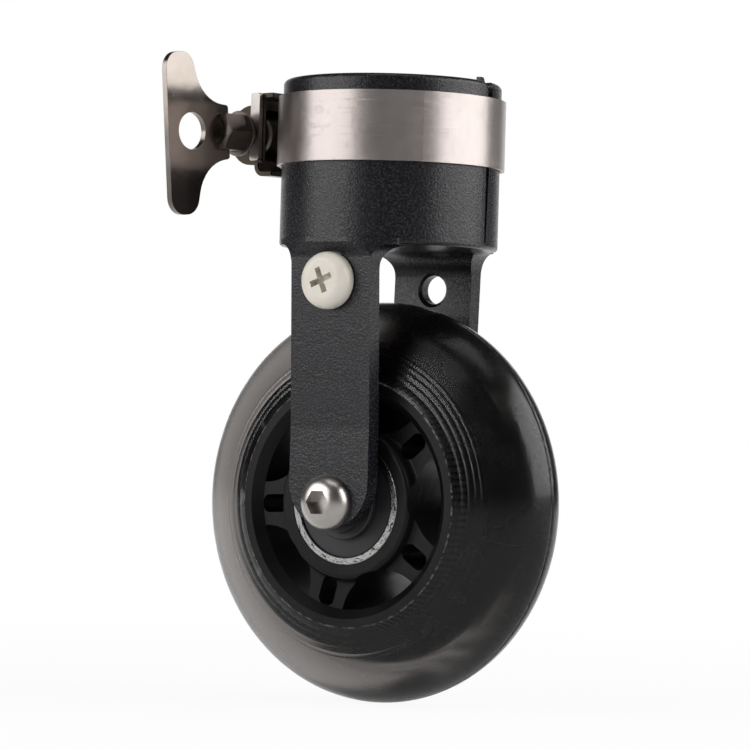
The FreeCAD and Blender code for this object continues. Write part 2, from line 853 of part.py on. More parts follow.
# One slot in the fork of a spoke
slot_angle = size("spoke_phase") + spoke_step / 2
slot_half_width = size("spoke_slot_width") / 2
slot_near = size("spoke_slot_centre") - size("spoke_slot_length") / 2
slot_far = size("spoke_slot_centre") + size("spoke_slot_length") / 2


def slot_corner(along, across):
    """Corner of the slot, from its place along the spoke and to its side."""
    x = along * cosine(slot_angle) - across * sine(slot_angle)
    y = along * sine(slot_angle) + across * cosine(slot_angle)
    return x, y, slot_half_width - 0.4


spoke_slot = Drawing(hub, "SpokeSlot", "XZ_Plane")
spoke_slot.outline([
    slot_corner(slot_near, -slot_half_width),
    slot_corner(slot_far, -slot_half_width),
    slot_corner(slot_far, slot_half_width),
    slot_corner(slot_near, slot_half_width),
])
slot_cut = pocket(hub, spoke_slot, symmetric=True)
repeat(hub, slot_cut, "Y_Axis", size("spoke_count"))

flange_hole = Drawing(hub, "FlangeHole", "XZ_Plane")
flange_hole.circle(0, -(size("flange_hole_circle") / 2), size("flange_hole_diameter") / 2)
hole_cut = pocket(hub, flange_hole, symmetric=True)
repeat(hub, hole_cut, "Y_Axis", size("flange_hole_count"))
stand(hub, z=axle_height)


# Tyre: cast round the flange and through its holes

tyre = new_body("wheel_tyre")
bond = size("bond_gap")
half_flank = size("tread_flank_angle")
tread_apex = wheel_radius - size("tread_round") + size("tread_round") / sine(half_flank)
edge_radius = size("tyre_edge_diameter") / 2
edge_half = (tread_apex - edge_radius) * tangent(half_flank)
side_half = rim_half - 0.15
tyre_section = Drawing(tyre, "Section", "XY_Plane")
tyre_section.outline([
    (rim_radius + bond, -side_half),
    (edge_radius, -edge_half),
    (tread_apex, 0, size("tread_round")),
    (edge_radius, edge_half),
    (rim_radius + bond, side_half),
    (rim_radius + bond, flange_half + bond, size("rim_corner_round") - bond),
    (flange_radius + bond, flange_half + bond, size("flange_round") + bond),
    (flange_radius + bond, -(flange_half + bond), size("flange_round") + bond),
    (rim_radius + bond, -(flange_half + bond), size("rim_corner_round") - bond),
])
revolve(tyre, tyre_section)
plug = Drawing(tyre, "Plug", "XZ_Plane")
plug.circle(0, -(size("flange_hole_circle") / 2), size("flange_hole_diameter") / 2 - bond)
plug_pad = pad(tyre, plug, flange_half * 2 + 0.4, symmetric=True)
repeat(tyre, plug_pad, "Y_Axis", size("flange_hole_count"))
stand(tyre, z=axle_height)


# Ball bearings: the same pieces on each side, mirrored about the wheel's middle plane

ball_radius = size("ball_diameter") / 2
ball_orbit = size("ball_circle") / 2
groove_radius = ball_radius + size("race_groove_gap")
race_half = size("bearing_width") / 2
race_outside = seat_radius - size("seat_gap")
outer_land = size("outer_race_land") / 2
inner_land = size("inner_race_land") / 2
bore_half = size("bearing_bore") / 2
seal_out = race_half - size("seal_recess")
seal_in = seal_out - size("seal_thickness")
seal_edge = outer_land + 0.35


def race(label, back, land, chamfer, middle, seal_seat=None):
    """Ring with a ball groove in its land; seal_seat is the wider seat at both ends."""
    body = new_body(label)
    ring = Drawing(body, "Section", "XY_Plane")
    if seal_seat is None:
        face = [(land, -race_half, 0.2), (land, race_half, 0.2)]
    else:
        lip = seal_in - 0.05
        face = [
            (seal_seat, -race_half),
            (seal_seat, -lip),
            (land, -lip),
            (land, lip),
            (seal_seat, lip),
            (seal_seat, race_half),
        ]
    ring.outline(face + [(back, race_half, chamfer), (back, -race_half, chamfer)])
    revolve(body, ring)
    groove = Drawing(body, "Groove", "XY_Plane")
    groove.circle(ball_orbit, 0, groove_radius)
    revolve(body, groove, groove=True)
    doc.recompute()
    stand(body, y=middle, z=axle_height)
    return body


def bearing(side, label):
    middle = size("bearing_offset") * side
    race(f"{label}_outer_race", race_outside, outer_land, 0.25, middle, seal_seat=seal_edge)
    race(f"{label}_inner_race", bore_half, inner_land, 0.25, middle)

    balls = doc.addObject("Part::Feature", f"{label}_balls")
    balls.Label = f"{label}_balls"
    set_of_balls = []
    count = int(size("ball_count").number)
    for i in range(count):
        angle = 2 * math.pi * i / count
        spot = FreeCAD.Vector(math.sin(angle), 0, math.cos(angle)) * ball_orbit.number
        set_of_balls.append(Part.makeSphere(ball_radius.number, spot))
    balls.Shape = Part.makeCompound(set_of_balls)
    stand(balls, y=middle, z=axle_height)

    cage = new_body(f"{label}_cage")
    ring = Drawing(cage, "Ring", "XZ_Plane")
    ring.circle(0, 0, ball_orbit + 0.6)
    ring.circle(0, 0, ball_orbit - 0.6)
    pad(cage, ring, ball_radius * 2 + 0.6, symmetric=True)
    ball_pocket = Drawing(cage, "BallPocket", "XY_Plane")
    ball_pocket.circle(0, 0, ball_radius + 0.12)
    pocket_cut = pocket(cage, ball_pocket, reverse=True)
    repeat(cage, pocket_cut, "Y_Axis", size("ball_count"))
    stand(cage, y=middle, z=axle_height)

    for end, name in ((side, "outer_seal"), (-side, "inner_seal")):
        seal = new_body(f"{label}_{name}")
        disc = Drawing(seal, "Disc", "XY_Plane")
        disc.outline([
            (inner_land + 0.12, end * seal_in),
            (seal_edge - 0.03, end * seal_in),
            (seal_edge - 0.03, end * seal_out),
            (inner_land + 0.12, end * seal_out),
        ])
        revolve(seal, disc)
        doc.recompute()
        stand(seal, y=middle, z=axle_height)


bearing(-1, "near")
bearing(1, "far")


# Axle: button-head screw through both legs, locknut, stepped sleeve in the bearings, stepped spacers

shank_radius = size("axle_diameter") / 2
sleeve_bore = shank_radius + 0.15

sleeve_body = new_body("axle_sleeve")
sleeve_section = Drawing(sleeve_body, "Section", "XY_Plane")
nose_radius = bore_half - clearance
sleeve_end = stack_half - 0.2
shoulder = size("sleeve_shoulder_diameter") / 2
sleeve_section.outline([
    (sleeve_bore, -sleeve_end),
    (nose_radius, -sleeve_end, 0.3),
    (nose_radius, -seat_depth),
    (shoulder, -seat_depth),
    (shoulder, seat_depth),
    (nose_radius, seat_depth),
    (nose_radius, sleeve_end, 0.3),
    (sleeve_bore, sleeve_end),
])
revolve(sleeve_body, sleeve_section)
stand(sleeve_body, z=axle_height)

for side, label in ((-1, "near_spacer"), (1, "far_spacer")):
    spacer = new_body(label)
    spacer_section = Drawing(spacer, "Section", "XY_Plane")
    foot = size("spacer_foot_diameter") / 2
    top = size("spacer_top_diameter") / 2
    step = stack_half + size("spacer_step")
    spacer_section.outline([
        (sleeve_bore, side * stack_half),
        (foot, side * stack_half),
        (foot, side * step, 0.25),
        (top, side * step),
        (top, side * gap_half),
        (sleeve_bore, side * gap_half),
    ])
    revolve(spacer, spacer_section)
    stand(spacer, z=axle_height)

bolt = new_body("axle_bolt")
bolt_section = Drawing(bolt, "Section", "XY_Plane")
head_radius = size("bolt_head_diameter") / 2
head_top = leg_outside + size("bolt_head_height")
bolt_end = leg_outside + size("nut_height") + size("bolt_tail")
bolt_section.outline([
    (0, -head_top),
    (head_radius, -head_top, size("bolt_head_height") - 0.15),
    (head_radius, -leg_outside),
    (shank_radius, -leg_outside),
    (shank_radius, bolt_end, 0.5),
    (0, bolt_end),
])
revolve(bolt, bolt_section)
bolt_socket = Drawing(bolt, "Socket", "XZ_Plane", lift=head_top - size("bolt_socket_depth"))
hexagon(bolt_socket, size("bolt_socket_flats"), first=0)
pocket(bolt, bolt_socket, reverse=True)
stand(bolt, z=axle_height)

nut = new_body("axle_nut")
nut_hex = Drawing(nut, "Hexagon", "XZ_Plane", lift=-(leg_outside + size("nut_height") - 1.2))
hexagon(nut_hex, size("nut_across_flats"))
nut_hex.circle(0, 0, shank_radius + clearance)
pad(nut, nut_hex, size("nut_height") - 1.2)
collar = Drawing(nut, "Collar", "XY_Plane")
collar_radius = size("nut_across_flats") / 2 - 0.4
nut_end = leg_outside + size("nut_height")
collar.outline([
    (shank_radius + clearance, nut_end - 1.4),
    (collar_radius, nut_end - 1.4),
    (collar_radius, nut_end, 0.9),
    (shank_radius + clearance, nut_end),
])
revolve(nut, collar)
nut_corner = size("nut_across_flats") / 2 / cosine(as_size(30))
for base, tip in ((leg_outside, leg_outside + 0.5), (nut_end - 1.2, nut_end - 1.7)):
    bevel = Drawing(nut, "Bevel", "XY_Plane")
    bevel.outline([
        (nut_corner - 0.7, base),
        (nut_corner + 0.5, base),
        (nut_corner + 0.5, tip),
    ])
    revolve(nut, bevel, groove=True)
stand(nut, z=axle_height)


# Round plastic screw in the near leg

stop = new_body("stop_screw")
stop_section = Drawing(stop, "Section", "XY_Plane")
stop_radius = size("stop_head_diameter") / 2
stop_top = stop_face + size("stop_head_height")
stop_shank = size("stop_hole_diameter") / 2 - clearance
stop_section.outline([
    (0, -stop_top),
    (stop_radius, -stop_top, 2.0),
    (stop_radius, -stop_face, 0.5),
    (stop_shank, -stop_face),
    (stop_shank, -(stop_inside + 0.1), 0.3),
    (0, -(stop_inside + 0.1)),
])
revolve(stop, stop_section)
recess = Drawing(stop, "Recess", "XZ_Plane", lift=stop_top - size("stop_recess_depth"))
arm = size("stop_recess_arm") / 2
span = size("stop_recess_span") / 2
turn = size("stop_recess_turn")
cross = [
    (span, -arm), (span, arm), (arm, arm), (arm, span), (-arm, span), (-arm, arm),
    (-span, arm), (-span, -arm), (-arm, -arm), (-arm, -span), (arm, -span), (arm, -arm),
]
recess.outline([
    (x * cosine(turn) - y * sine(turn), x * sine(turn) + y * cosine(turn)) for x, y in cross
])
pocket(stop, recess, reverse=True)
stand(stop, z=stop_height)


# Check every object, then write one file for each sub-part

doc.recompute()
for thing in doc.Objects:
    if {"Invalid", "Error"} & set(thing.State):
        raise ValueError(f"{thing.Label} failed: {thing.State}")

nodes = [o for o in doc.Objects if o.isDerivedFrom("PartDesign::Body") or o.TypeId == "Part::Feature"]
for node in nodes:
    shape = node.Shape
    if shape.isNull() or not shape.isValid():
        raise ValueError(f"{node.Label} has no valid shape")
for node in nodes:
    node.Shape.exportStep(f"parts/{node.Label}.step")
    print(f"{node.Label:18s} solids {len(node.Shape.Solids)}  volume {node.Shape.Volume:9.1f}")
print(f"{len(nodes)} sub-parts")
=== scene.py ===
import bmesh
import bpy
import math
from mathutils import Matrix, Vector


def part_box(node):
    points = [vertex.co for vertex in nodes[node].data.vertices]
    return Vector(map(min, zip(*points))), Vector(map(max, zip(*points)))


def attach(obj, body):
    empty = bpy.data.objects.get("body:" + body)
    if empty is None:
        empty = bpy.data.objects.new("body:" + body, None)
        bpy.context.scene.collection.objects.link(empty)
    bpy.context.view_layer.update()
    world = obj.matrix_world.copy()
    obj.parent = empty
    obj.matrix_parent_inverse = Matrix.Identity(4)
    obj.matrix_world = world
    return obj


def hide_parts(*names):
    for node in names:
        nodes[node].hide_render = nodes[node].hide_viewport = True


# Looks of the auxiliary rolling wheel. Metres, in the part's own frame: the wheel's axis is
# parallel to Y, the leg with the ivory screw is on the -Y side, the tube's socket opens to +Z.

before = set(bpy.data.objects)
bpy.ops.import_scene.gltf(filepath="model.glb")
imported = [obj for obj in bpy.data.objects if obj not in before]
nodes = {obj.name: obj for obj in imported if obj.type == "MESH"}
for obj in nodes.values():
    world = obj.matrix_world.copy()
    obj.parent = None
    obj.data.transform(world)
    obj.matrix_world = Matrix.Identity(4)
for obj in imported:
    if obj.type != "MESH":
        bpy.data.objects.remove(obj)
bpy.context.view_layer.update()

MM = 0.001


def middle_height(node):
    """Height of the middle of a node's box."""
    low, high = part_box(node)
    return (low.z + high.z) / 2


tyre_low, tyre_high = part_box("wheel_tyre")
wheel_radius = (tyre_high.z - tyre_low.z) / 2
axle_height = middle_height("wheel_tyre")
band_height = middle_height("clamp_band")

# What finishes and shapes share: the hub's rim, half the clamp housing's length in millimetres,
# and how far the clamp is turned on the cup

RIM_RADIUS = 22.1 * MM
HOUSING_HALF = 10.2
CLAMP_TURN = math.radians(8.6)


# Finishes

class NodeTree:
    """Short ways to add nodes to a tree."""

    def __init__(self, tree):
        self.tree = tree

    def node(self, kind, inputs=None, **settings):
        """A new node. Each input is a value or another node's output."""
        made = self.tree.nodes.new(kind)
        for word, value in settings.items():
            setattr(made, word, value)
        for socket, value in (inputs or {}).items():
            if isinstance(value, bpy.types.NodeSocket):
                self.tree.links.new(value, made.inputs[socket])
            else:
                made.inputs[socket].default_value = value
        return made

    def calculate(self, operation, first, second=0.0):
        return self.node("ShaderNodeMath", {0: first, 1: second}, operation=operation).outputs[0]

    def spread(self, value, low, high, to_low=0.0, to_high=1.0, smooth=False):
        """A pattern's values from low to high become to_low to to_high."""
        inputs = {
            "Value": value,
            "From Min": low,
            "From Max": high,
            "To Min": to_low,
            "To Max": to_high,
        }
        kind = "SMOOTHSTEP" if smooth else "LINEAR"
        return self.node("ShaderNodeMapRange", inputs, interpolation_type=kind).outputs["Result"]

    def blend(self, share, first, second):
        """The first number where the share is zero, the second where it is one."""
        return self.node("ShaderNodeMix", {0: share, 2: first, 3: second}).outputs[0]

    def facing(self, vector, direction):
        """How far a vector goes in a direction."""
        inputs = {0: vector, 1: direction}
        return self.node("ShaderNodeVectorMath", inputs, operation="DOT_PRODUCT").outputs["Value"]


class Finish(NodeTree):
    """A material: one shader, and patterns that read the piece's own coordinates.
    A pattern's scale counts its repeats in a metre."""

    def __init__(self, name, **values):
        self.material = bpy.data.materials.new(name)
        self.material.use_nodes = True
        super().__init__(self.material.node_tree)
        self.shader = self.tree.nodes["Principled BSDF"]
        for word, value in values.items():
            self.shader.inputs[word.replace("_", " ")].default_value = value
        self.place = self.node("ShaderNodeTexCoord").outputs["Object"]

    def feed(self, word, value):
        """A node's output sets one of the shader's inputs."""
        self.tree.links.new(value, self.shader.inputs[word])

    def around(self, axis, height):
        """Coordinates of a turned piece whose axis runs along Y or Z at a height: the way round
        it, the reach from it and the place along it. The reach is given on its own, too."""
        inputs = {0: self.place, 1: (0.0, 0.0, height)}
        moved = self.node("ShaderNodeVectorMath", inputs, operation="SUBTRACT").outputs[0]
        parts = self.node("ShaderNodeSeparateXYZ", {0: moved}).outputs
        first, second = [parts[word] for word in "XYZ" if word != axis]
        squares = [self.calculate("MULTIPLY", part, part) for part in (first, second)]
        reach = self.calculate("SQRT", self.calculate("ADD", *squares))
        way = self.calculate("MULTIPLY", self.calculate("ARCTAN2", second, first), reach)
        unrolled = self.node("ShaderNodeCombineXYZ", {"X": way, "Y": reach, "Z": parts[axis]})
        return unrolled.outputs[0], reach

    def scaled(self, place, x, y, z):
        """Coordinates stretched along their axes."""
        inputs = {"Vector": place, "Scale": (x, y, z)}
        return self.node("ShaderNodeMapping", inputs).outputs["Vector"]

    def noise(self, scale, detail=2.0, roughness=0.5, place=None, distortion=0.0):
        inputs = {
            "Vector": place or self.place,
            "Scale": scale,
            "Detail": detail,
            "Roughness": roughness,
            "Distortion": distortion,
        }
        return self.node("ShaderNodeTexNoise", inputs).outputs["Fac"]

    def spots(self, scale):
        """Distance from the nearest of many points, counted in their spacing."""
        inputs = {"Vector": self.place, "Scale": scale}
        return self.node("ShaderNodeTexVoronoi", inputs).outputs["Distance"]

    def mix(self, share, *colours):
        """The first colour where the share is zero, the second where it is one. A colour is red,
        green and blue, or another mix."""
        inputs = {0: share}
        for socket, colour in zip((6, 7), colours):
            mixed = isinstance(colour, bpy.types.NodeSocket)
            inputs[socket] = colour if mixed else (*colour, 1)
        return self.node("ShaderNodeMix", inputs, data_type="RGBA").outputs[2]

    def relief(self, *layers):
        """Bumps: each layer is a pattern and its height in metres."""
        normal = None
        for pattern, height in layers:
            inputs = {"Height": pattern, "Distance": height, "Strength": 1.0}
            if normal is not None:
                inputs["Normal"] = normal
            normal = self.node("ShaderNodeBump", inputs).outputs["Normal"]
        self.feed("Normal", normal)


def powder_coat():
    """Matt black coat with a fine orange-peel grain, on cast aluminium. The grain's hollows are
    painted darker as painted shade, and its crests lighter as painted sheen.
    """
    coat = Finish("powder_coat", Specular_IOR_Level=0.42)
    grain = coat.noise(3000, detail=1.0)
    fine = coat.noise(6400, detail=1.0)
    shaded_hollow, sheen_crest = (0.0020, 0.0019, 0.0026), (0.027, 0.0255, 0.033)
    # Colour that follows the grain: painted shade in its hollows and painted sheen on its crests
    coat.feed("Base Color", coat.mix(coat.spread(grain, 0.45, 0.70), shaded_hollow, sheen_crest))
    coat.feed("Roughness", coat.spread(grain, 0.35, 0.65, 0.34, 0.22))
    coat.relief((grain, 0.06 * MM), (fine, 0.010 * MM))
    return coat.material


def hub_nylon():
    """Black moulded nylon: satin, with flow marks, a few scratches and a worn line round the rim.
    What lies under the tyre is bonded to it and doesn't shine."""
    nylon = Finish("hub_nylon")
    cloud = nylon.noise(90, detail=3.0)
    grain = nylon.noise(3200)
    scratch = nylon.spread(nylon.noise(260, 4.0, 0.6, distortion=1.8), 0.49, 0.505)
    reach = nylon.around("Y", axle_height)[1]
    black, paler, bare = (0.0045, 0.0045, 0.0050), (0.0070, 0.0070, 0.0080), (0.16, 0.155, 0.15)
    base = nylon.mix(nylon.spread(cloud, 0.35, 0.7), black, paler)
    rim_start = nylon.spread(reach, RIM_RADIUS - 0.30 * MM, RIM_RADIUS - 0.22 * MM)
    rim_end = nylon.spread(reach, RIM_RADIUS - 0.08 * MM, RIM_RADIUS, 1.0, 0.0)
    patches = nylon.spread(nylon.noise(900, 3.0, 0.6), 0.45, 0.60)
    rim = nylon.calculate("MULTIPLY", rim_start, rim_end)
    worn = nylon.calculate("MULTIPLY", rim, patches)
    nylon.feed("Base Color", nylon.mix(worn, base, bare))
    nylon.feed("Roughness", nylon.spread(cloud, 0.3, 0.7, 0.28, 0.40))
    bonded = nylon.spread(reach, RIM_RADIUS - 0.05 * MM, RIM_RADIUS, 0.20, 0.0)
    nylon.feed("Specular IOR Level", bonded)
    nylon.relief((grain, 0.012 * MM), (scratch, 0.008 * MM))
    return nylon.material


def smoky_urethane():
    """Clear urethane with a smoky tint that deepens with thickness, and marks on its skin."""
    clear, smoke = (0.96, 0.95, 0.94, 1), (0.50, 0.48, 0.47, 1)
    urethane = Finish("smoky_urethane", Transmission_Weight=1.0, IOR=1.46, Base_Color=clear)
    inputs = {"Color": smoke, "Density": 200.0}
    absorb = urethane.node("ShaderNodeVolumeAbsorption", inputs).outputs["Volume"]
    urethane.tree.links.new(absorb, urethane.tree.nodes["Material Output"].inputs["Volume"])
    marks = urethane.noise(140)
    urethane.feed("Roughness", urethane.spread(marks, 0.35, 0.70, 0.20, 0.30))
    urethane.relief((urethane.noise(160), 0.006 * MM))
    return urethane.material


def rolled_band():
    """Rolled stainless strip: streaks run round the cup, with stains, scuffs and shallow dents."""
    steel = Finish("rolled_band", Metallic=1.0, Anisotropic=0.82)
    steel.feed("Tangent", steel.node("ShaderNodeCombineXYZ", {"Z": 1.0}).outputs[0])
    unrolled = steel.around("Z", band_height)[0]
    streaks = steel.noise(1.0, 3.0, 0.6, steel.scaled(unrolled, 60, 1, 2400))
    hairs = steel.noise(1.0, 4.0, 0.65, steel.scaled(unrolled, 25, 1, 5200))
    hairs = steel.spread(hairs, 0.56, 0.62)
    stains = steel.noise(1.0, 4.0, 0.6, steel.scaled(unrolled, 150, 1, 90))
    scuff = steel.spread(steel.noise(330, 5.0, 0.7, distortion=1.2), 0.56, 0.64)
    dents = steel.noise(48, detail=1.0)
    stained, clean = (0.47, 0.42, 0.40), (0.54, 0.485, 0.465)
    steel.feed("Base Color", steel.mix(steel.spread(stains, 0.35, 0.65), stained, clean))
    rough = steel.spread(stains, 0.3, 0.7, 0.35, 0.41)
    rough = steel.calculate("ADD", rough, steel.calculate("MULTIPLY", scuff, 0.08))
    steel.feed("Roughness", rough)
    steel.relief(
        (dents, 0.10 * MM),
        (streaks, 0.005 * MM),
        (hairs, 0.004 * MM),
        (scuff, 0.004 * MM),
    )
    return steel.material


# The housing's end on the key's side. Each zone is the depth behind that end at which its colour
# is full and the depth at which it is gone: painted shade in near black over the sheet's sawn end
# where it meets the plate, then the plate in front of it, painted lighter than the steel as
# painted light

SCREW_AXIS = (math.sin(CLAMP_TURN), math.cos(CLAMP_TURN), 0.0)
PAINTED_END_ZONES = (
    ((0.24 * MM, 0.30 * MM), (0.055, 0.045, 0.036)),
    ((-0.06 * MM, -0.02 * MM), (0.46, 0.42, 0.40)),
)


def pressed_steel(name, dark, light, painted_zones=()):
    """Pressed and turned stainless parts of the clamp, with a warm cast and small dents. Zones
    that are given lay painted shade and painted light on it.
    """
    steel = Finish(name, Metallic=1.0)
    cloud = steel.noise(150, 4.0, 0.6)
    base = steel.mix(steel.spread(cloud, 0.35, 0.7), dark, light)
    end = -HOUSING_HALF * MM
    # Each zone lays painted shade or painted light over the steel's own tone
    for (full, gone), colour in painted_zones:
        along = steel.facing(steel.place, SCREW_AXIS)
        base = steel.mix(steel.spread(along, end + full, end + gone, 1.0, 0.0), base, colour)
    steel.feed("Base Color", base)
    steel.feed("Roughness", steel.spread(cloud, 0.3, 0.7, 0.32, 0.46))
    hairs = steel.spread(steel.noise(900, 4.0, 0.7, distortion=2.0), 0.52, 0.56)
    steel.relief((steel.noise(240), 0.05 * MM), (hairs, 0.004 * MM))
    return steel.material


KEY_BOW = 0.6


def key_steel():
    """The wing key's tumbled stainless plate: bright and a little bowed, so its two lobes shine
    differently. The bow's depth is KEY_BOW times the square of the height from its middle."""
    steel = Finish("key_steel", Metallic=1.0)
    cloud = steel.noise(120, 4.0, 0.55)
    dark, light = (0.22, 0.19, 0.165), (0.29, 0.26, 0.24)
    steel.feed("Base Color", steel.mix(steel.spread(cloud, 0.3, 0.7), dark, light))
    steel.feed("Roughness", steel.spread(cloud, 0.3, 0.7, 0.15, 0.24))
    height = steel.node("ShaderNodeSeparateXYZ", {0: steel.place}).outputs["Z"]
    from_middle = steel.calculate("SUBTRACT", height, middle_height("wing_key"))
    square = steel.calculate("MULTIPLY", from_middle, from_middle)
    bow = steel.calculate("MULTIPLY", square, -KEY_BOW)
    nicks = steel.spread(steel.spots(1500), 0.0, 0.16, 1.0, 0.0)
    steel.relief((bow, 1.0), (steel.noise(170), 0.07 * MM), (nicks, 0.006 * MM))
    return steel.material


def polished_steel():
    """Polished stainless of the axle screw and its nut."""
    steel = Finish("polished_steel", Metallic=1.0)
    cloud = steel.noise(260, 4.0, 0.6)
    dark, light = (0.50, 0.465, 0.44), (0.62, 0.59, 0.56)
    steel.feed("Base Color", steel.mix(steel.spread(cloud, 0.35, 0.7), dark, light))
    steel.feed("Roughness", steel.spread(cloud, 0.3, 0.7, 0.25, 0.36))
    steel.relief((steel.noise(600, detail=3.0), 0.012 * MM))
    return steel.material


# Reaches at which the painted black shade inside the ring is full and gone
RING_INSIDE, RING_FACE = 9.75 * MM, 9.85 * MM


def bearing_ring():
    """Ground ring face with black pits and hairlines, and painted shade inside it: the steel there
    is painted black.
    """
    steel = Finish("bearing_ring", Metallic=1.0)
    unrolled, reach = steel.around("Y", axle_height)
    pits = steel.noise(1.0, 5.0, 0.7, steel.scaled(unrolled, 1500, 2600, 1500))
    # Painted shade: the steel inside RING_INSIDE is painted black, fading out by RING_FACE
    inside = steel.spread(reach, RING_INSIDE, RING_FACE, 1.0, 0.0)
    dark = steel.calculate("MAXIMUM", steel.spread(pits, 0.54, 0.58), inside)
    steel.feed("Base Color", steel.mix(dark, (0.50, 0.49, 0.48), (0.02, 0.02, 0.02)))
    steel.feed("Roughness", steel.spread(dark, 0.0, 1.0, 0.24, 0.6))
    steel.relief((pits, 0.02 * MM))
    return steel.material


def ivory_nylon():
    """Ivory moulded nylon with a soft, slightly waxy skin."""
    nylon = Finish(
        "ivory_nylon",
        Subsurface_Weight=0.35,
        Subsurface_Scale=0.6 * MM,
        Subsurface_Radius=(1.0, 0.8, 0.5),
    )
    cloud = nylon.noise(300, detail=3.0)
    dark, light = (0.64, 0.60, 0.52), (0.70, 0.66, 0.59)
    nylon.feed("Base Color", nylon.mix(nylon.spread(cloud, 0.3, 0.7), dark, light))
    nylon.feed("Roughness", nylon.spread(cloud, 0.3, 0.7, 0.28, 0.42))
    nylon.relief((nylon.noise(900), 0.012 * MM))
    return nylon.material


def plain_finish(name, dark, light, rough, metal=0.0, grain=1200, height=0.01):
    """Small and inner pieces: a colour that varies a little, and a grain with its height in
    millimetres."""
    finish = Finish(name, Metallic=metal)
    cloud = finish.noise(grain / 8, detail=3.0)
    finish.feed("Base Color", finish.mix(finish.spread(cloud, 0.3, 0.7), dark, light))
    finish.feed("Roughness", finish.spread(cloud, 0.3, 0.7, rough - 0.06, rough + 0.06))
    finish.relief((finish.noise(grain), height * MM))
    return finish.material


HOUSING_STEEL = (0.32, 0.285, 0.26), (0.46, 0.42, 0.39)
SCREW_STEEL = (0.12, 0.10, 0.088), (0.20, 0.17, 0.15)
SLEEVE_STEEL = (0.5, 0.5, 0.5), (0.6, 0.6, 0.6)
BALL_STEEL = (0.72, 0.72, 0.72), (0.8, 0.8, 0.8)
BLACK_NYLON = (0.012, 0.012, 0.013), (0.02, 0.02, 0.021)
BLACK_RUBBER = (0.012, 0.012, 0.014), (0.02, 0.02, 0.023)
CAGE_NYLON = (0.42, 0.38, 0.26), (0.5, 0.46, 0.34)

FINISHES = {
    "bracket": powder_coat(),
    "wheel_hub": hub_nylon(),
    "clamp_band": rolled_band(),
    "clamp_housing": pressed_steel("housing_steel", *HOUSING_STEEL, PAINTED_END_ZONES),
    "clamp_screw": pressed_steel("screw_steel", *SCREW_STEEL),
    "wing_key": key_steel(),
    "axle_bolt": polished_steel(),
    "axle_nut": polished_steel(),
    "stop_screw": ivory_nylon(),
    "socket_liner": plain_finish("liner_nylon", *BLACK_NYLON, 0.38),
    "axle_sleeve": plain_finish("sleeve_steel", *SLEEVE_STEEL, 0.35, metal=1.0),
    "near_spacer": plain_finish("near_spacer_black", *BLACK_NYLON, 0.45),
    "far_spacer": plain_finish("far_spacer_black", *BLACK_NYLON, 0.45),
}
BEARING_FINISHES = {
    "outer_race": bearing_ring(),
    "outer_seal": plain_finish("seal_rubber", *BLACK_RUBBER, 0.5, grain=2500),
    "balls": plain_finish("ball_steel", *BALL_STEEL, 0.12, metal=1.0, height=0.002),
    "cage": plain_finish("cage_nylon", *CAGE_NYLON, 0.5),
}
BEARING_FINISHES["inner_race"] = BEARING_FINISHES["balls"]
BEARING_FINISHES["inner_seal"] = BEARING_FINISHES["outer_seal"]
for side in ("near", "far"):
    for piece, material in BEARING_FINISHES.items():
        FINISHES[f"{side}_{piece}"] = material


def give_finish(piece, material):
    piece.data.materials.clear()
    piece.data.materials.append(material)


for name, material in FINISHES.items():
    give_finish(nodes[name], material)


# Shapes

SAME_POINT = 0.001 * MM
ROUND_STEPS = 8
BEVEL_STEPS = 2
BEVEL_ANGLE = math.radians(38)


def piece_from(build, name):
    """A new object whose mesh is the bmesh."""
    bmesh.ops.recalc_face_normals(build, faces=build.faces)
    mesh = bpy.data.meshes.new(name)
    build.to_mesh(mesh)
    build.free()
    piece = bpy.data.objects.new(name, mesh)
    bpy.context.scene.collection.objects.link(piece)
    return piece


def turned(name, outline, segments, x=0.0, z=0.0, closed=True):
    """An outline of (reach, along) points turned round an axis parallel to Y. An outline that
    isn't closed starts and ends on the axis."""
    build = bmesh.new()
    rings = []
    for i in range(segments):
        angle = 2 * math.pi * i / segments
        ring = []
        for reach, along in outline:
            place = (x + reach * math.sin(angle), along, z + reach * math.cos(angle))
            ring.append(build.verts.new(place))
        rings.append(ring)
    count = len(outline)
    for i in range(segments):
        here, there = rings[i], rings[(i + 1) % segments]
        for j in range(count if closed else count - 1):
            k = (j + 1) % count
            build.faces.new((here[j], there[j], there[k], here[k]))
    if not closed:
        bmesh.ops.remove_doubles(build, verts=build.verts, dist=SAME_POINT)
    return piece_from(build, name)


def rounded(corners):
    """The points of an outline in millimetres; a corner's third number is its radius."""
    points = []
    for i, corner in enumerate(corners):
        here = Vector(corner[:2]) * MM
        if len(corner) == 2:
            points.append(here)
            continue
        before = (Vector(corners[i - 1][:2]) * MM - here).normalized()
        after = (Vector(corners[(i + 1) % len(corners)][:2]) * MM - here).normalized()
        half = before.angle(after) / 2
        radius = corner[2] * MM
        centre = here + (before + after).normalized() * radius / math.sin(half)
        first = here + before * radius / math.tan(half) - centre
        last = here + after * radius / math.tan(half) - centre
        turn = math.atan2(first.cross(last), first.dot(last))
        for step in range(ROUND_STEPS + 1):
            points.append(centre + Matrix.Rotation(turn * step / ROUND_STEPS, 2) @ first)
    return points


def regular(centre, radius, count):
    """The corners of a regular outline in millimetres."""
    x, y = centre
    corners = []
    for i in range(count):
        angle = 2 * math.pi * i / count
        corners.append((x + radius * math.cos(angle), y + radius * math.sin(angle)))
    return corners


